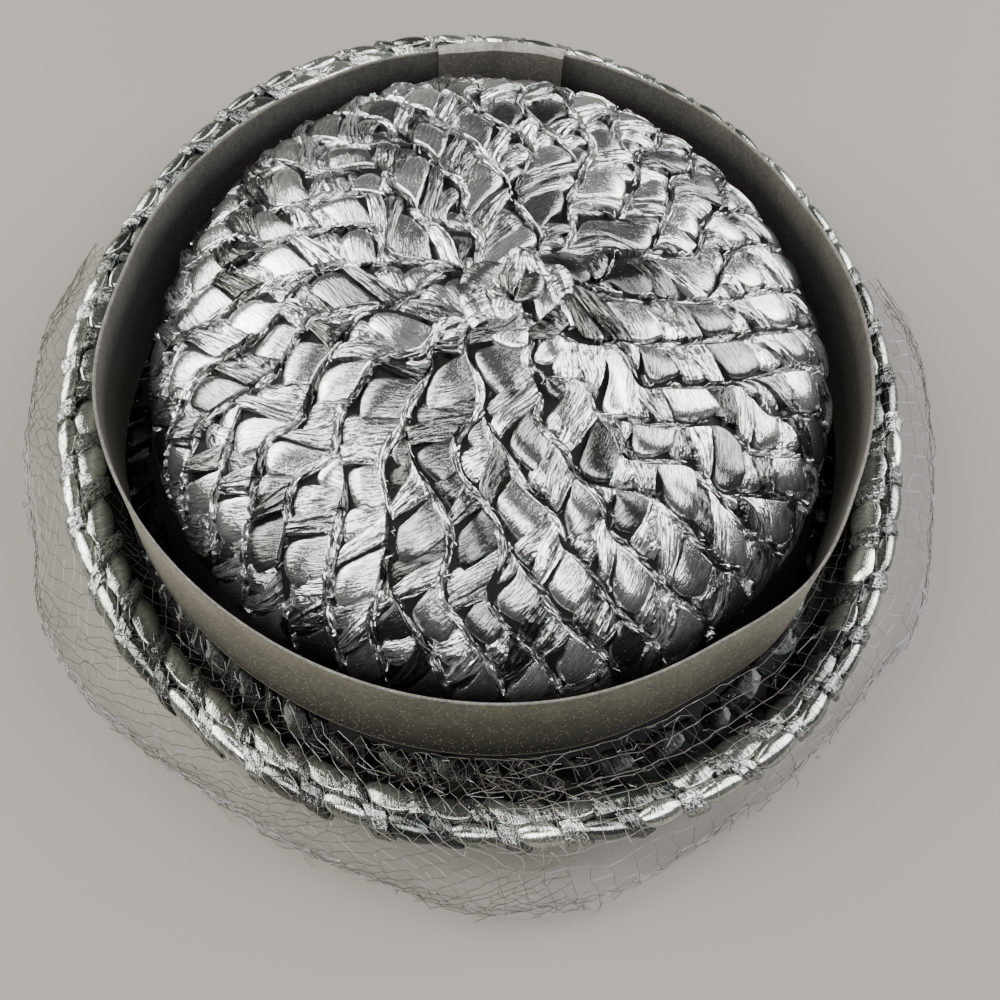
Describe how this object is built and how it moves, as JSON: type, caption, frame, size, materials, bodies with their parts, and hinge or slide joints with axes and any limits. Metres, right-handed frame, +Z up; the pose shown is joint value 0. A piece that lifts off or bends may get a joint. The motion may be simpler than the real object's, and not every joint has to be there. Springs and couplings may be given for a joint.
{
  "type": "pillbox hat with veil",
  "caption": "Small round hat of woven straw with a domed swirling crown, upturned rolled rim, standing ribbon band and short net veil.",
  "frame": {"origin": "middle of the whole hat's outline, on the surface that it rests on", "axes": "+Z up through the crown, -Y the front of the hat where the veil stands out most, +X the wearer's left"},
  "size_m": [0.2332, 0.2556, 0.0453],
  "materials": {
    "straw": "glossy foil-like straw strips",
    "ribbon": "close velvety satin",
    "net": "fine dull net"
  },
  "bodies": {
    "root": {"crown": "straw", "brim": "straw", "hat_band": "ribbon", "band_join": "ribbon", "veil": "net"}
  },
  "joints": []
}
